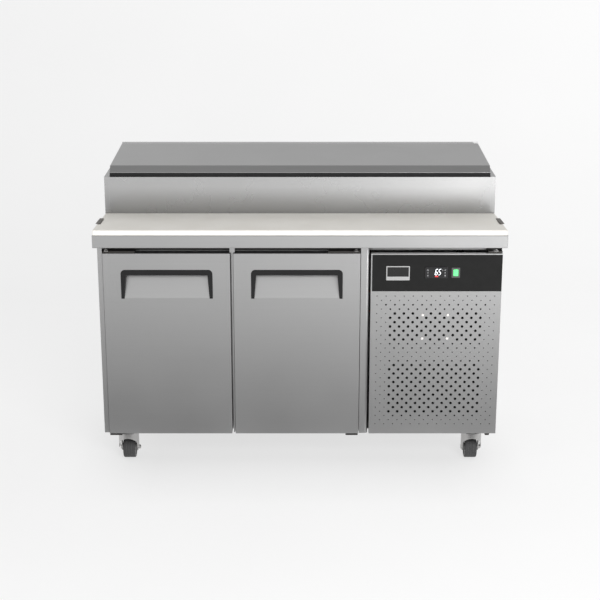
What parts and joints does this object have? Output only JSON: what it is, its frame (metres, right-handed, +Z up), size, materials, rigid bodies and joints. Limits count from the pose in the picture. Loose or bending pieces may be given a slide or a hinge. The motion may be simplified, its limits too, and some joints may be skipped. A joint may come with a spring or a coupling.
{
  "type": "sandwich prep table",
  "caption": "Refrigerated stainless sandwich prep table with hinged doors, a lidded food pan well, a cutting board and swivel casters.",
  "frame": {"origin": "on the floor under the middle of the whole table", "axes": "+X to the right as seen from the door side, +Y towards the back, +Z up"},
  "size_m": [1.36, 0.742, 1.0562],
  "materials": {
    "stainless": "satin",
    "galvanised": "matte",
    "liner_steel": "satin",
    "foam": "matte",
    "coated_wire": "satin",
    "black_plastic": "matte",
    "black_enamel": "satin",
    "copper": "satin",
    "board_plastic": "matte",
    "zinc": "satin",
    "dark_zinc": "satin",
    "pan_steel": "satin",
    "gasket_rubber": "matte",
    "strip_black": "satin",
    "badge_metal": "satin",
    "display_black": "gloss",
    "bezel_grey": "satin",
    "rocker_green": "gloss",
    "key_grey": "matte",
    "wheel_rubber": "matte"
  },
  "bodies": {
    "cabinet": {"side_panel_left": "stainless", "side_panel_right": "stainless", "back_panel": "galvanised", "base_pan": "galvanised", "front_frame": "stainless", "cabinet_liner": "liner_steel", "cabinet_foam": "foam", "shelves": "coated_wire", "shelf_supports": "liner_steel", "evaporator": "liner_steel", "machine_tray": "galvanised", "compressor": "black_enamel", "condenser": "black_enamel", "fan_shroud": "black_enamel", "refrigerant_pipes": "copper", "cable_gland": "black_plastic", "worktop": "stainless", "board_clips": "zinc", "hood_shell": "stainless", "pan_well": "liner_steel", "food_pans": "pan_steel", "lid_hinges": "zinc", "door_hinges": "dark_zinc", "caster_plates": "zinc"},
    "door_left": {"door_left_skin": "stainless", "door_left_inner": "liner_steel", "door_left_gasket": "gasket_rubber", "door_left_handle": "black_plastic"},
    "door_right": {"door_right_skin": "stainless", "door_right_inner": "liner_steel", "door_right_gasket": "gasket_rubber", "door_right_handle": "black_plastic"},
    "panel": {"service_panel": "stainless", "control_strip": "strip_black", "badge_plate": "badge_metal", "thermostat": "display_black", "switch_bezel": "bezel_grey", "panel_screws": "zinc"},
    "lid": {"lid_shell": "stainless", "lid_liner": "liner_steel", "lid_gasket": "gasket_rubber", "lid_hinge_leaves": "zinc"},
    "board": {"cutting_board": "board_plastic"},
    "rocker": {"power_rocker": "rocker_green"},
    "key_set_body": {"key_set": "key_grey"},
    "key_defrost_body": {"key_defrost": "key_grey"},
    "key_up_body": {"key_up": "key_grey"},
    "key_down_body": {"key_down": "key_grey"},
    "condenser_fan_wheel": {"condenser_fan": "black_plastic"},
    "evaporator_fan_wheel": {"evaporator_fan": "black_plastic"},
    "caster_front_left": {"fork_front_left": "zinc"},
    "roller_front_left": {"wheel_front_left": "wheel_rubber"},
    "brake_front_left": {"pedal_front_left": "black_enamel"},
    "caster_front_right": {"fork_front_right": "zinc"},
    "roller_front_right": {"wheel_front_right": "wheel_rubber"},
    "brake_front_right": {"pedal_front_right": "black_enamel"},
    "caster_rear_left": {"fork_rear_left": "zinc"},
    "roller_rear_left": {"wheel_rear_left": "wheel_rubber"},
    "caster_rear_right": {"fork_rear_right": "zinc"},
    "roller_rear_right": {"wheel_rear_right": "wheel_rubber"}
  },
  "joints": [
    {"name": "door_left_hinge", "type": "hinge", "parent": "cabinet", "child": "door_left", "pos_m": [-0.648, -0.263, 0.44], "axis": [0, 0, -1], "range_deg": [0, 95]},
    {"name": "door_right_hinge", "type": "hinge", "parent": "cabinet", "child": "door_right", "pos_m": [0.1885, -0.263, 0.44], "axis": [0, 0, 1], "range_deg": [0, 95]},
    {"name": "service_panel_hinge", "type": "hinge", "parent": "cabinet", "child": "panel", "pos_m": [0.652, -0.263, 0.44], "axis": [0, 0, 1], "range_deg": [0, 100]},
    {"name": "lid_hinge", "type": "hinge", "parent": "cabinet", "child": "lid", "pos_m": [0, 0.275, 1.047], "axis": [-1, 0, 0], "range_deg": [0, 105]},
    {"name": "board_lift", "type": "slide", "parent": "cabinet", "child": "board", "axis": [0, 0, 1], "range_m": [0, 0.15]},
    {"name": "power_rocker_tip", "type": "hinge", "parent": "panel", "child": "rocker", "pos_m": [0.523, -0.2699, 0.695], "axis": [1, 0, 0], "range_deg": [0, 14]},
    {"name": "condenser_fan_spin", "type": "hinge", "parent": "cabinet", "child": "condenser_fan_wheel", "pos_m": [0.455, -0.05, 0.2676], "axis": [0, 1, 0], "continuous": true},
    {"name": "evaporator_fan_spin", "type": "hinge", "parent": "cabinet", "child": "evaporator_fan_wheel", "pos_m": [-0.214, 0.28, 0.64], "axis": [0, 1, 0], "continuous": true},
    {"name": "key_set_press", "type": "slide", "parent": "panel", "child": "key_set_body", "axis": [0, 1, 0], "range_m": [0, 0.0008], "stiffness_N_per_m": 300},
    {"name": "key_defrost_press", "type": "slide", "parent": "panel", "child": "key_defrost_body", "axis": [0, 1, 0], "range_m": [0, 0.0008], "stiffness_N_per_m": 300},
    {"name": "key_up_press", "type": "slide", "parent": "panel", "child": "key_up_body", "axis": [0, 1, 0], "range_m": [0, 0.0008], "stiffness_N_per_m": 300},
    {"name": "key_down_press", "type": "slide", "parent": "panel", "child": "key_down_body", "axis": [0, 1, 0], "range_m": [0, 0.0008], "stiffness_N_per_m": 300},
    {"name": "front_left_swivel", "type": "hinge", "parent": "cabinet", "child": "caster_front_left", "pos_m": [-0.604, -0.209, 0.1], "axis": [0, 0, 1], "continuous": true},
    {"name": "front_left_roll", "type": "hinge", "parent": "caster_front_left", "child": "roller_front_left", "pos_m": [-0.604, -0.185, 0.0375], "axis": [1, 0, 0], "continuous": true},
    {"name": "front_left_brake", "type": "hinge", "parent": "caster_front_left", "child": "brake_front_left", "pos_m": [-0.604, -0.195, 0.084], "axis": [1, 0, 0], "range_deg": [0, 18]},
    {"name": "front_right_swivel", "type": "hinge", "parent": "cabinet", "child": "caster_front_right", "pos_m": [0.604, -0.209, 0.1], "axis": [0, 0, 1], "continuous": true},
    {"name": "front_right_roll", "type": "hinge", "parent": "caster_front_right", "child": "roller_front_right", "pos_m": [0.604, -0.185, 0.0375], "axis": [1, 0, 0], "continuous": true},
    {"name": "front_right_brake", "type": "hinge", "parent": "caster_front_right", "child": "brake_front_right", "pos_m": [0.604, -0.195, 0.084], "axis": [1, 0, 0], "range_deg": [0, 18]},
    {"name": "rear_left_swivel", "type": "hinge", "parent": "cabinet", "child": "caster_rear_left", "pos_m": [-0.604, 0.292, 0.1], "axis": [0, 0, 1], "continuous": true},
    {"name": "rear_left_roll", "type": "hinge", "parent": "caster_rear_left", "child": "roller_rear_left", "pos_m": [-0.604, 0.316, 0.0375], "axis": [1, 0, 0], "continuous": true},
    {"name": "rear_right_swivel", "type": "hinge", "parent": "cabinet", "child": "caster_rear_right", "pos_m": [0.604, 0.292, 0.1], "axis": [0, 0, 1], "continuous": true},
    {"name": "rear_right_roll", "type": "hinge", "parent": "caster_rear_right", "child": "roller_rear_right", "pos_m": [0.604, 0.316, 0.0375], "axis": [1, 0, 0], "continuous": true}
  ]
}
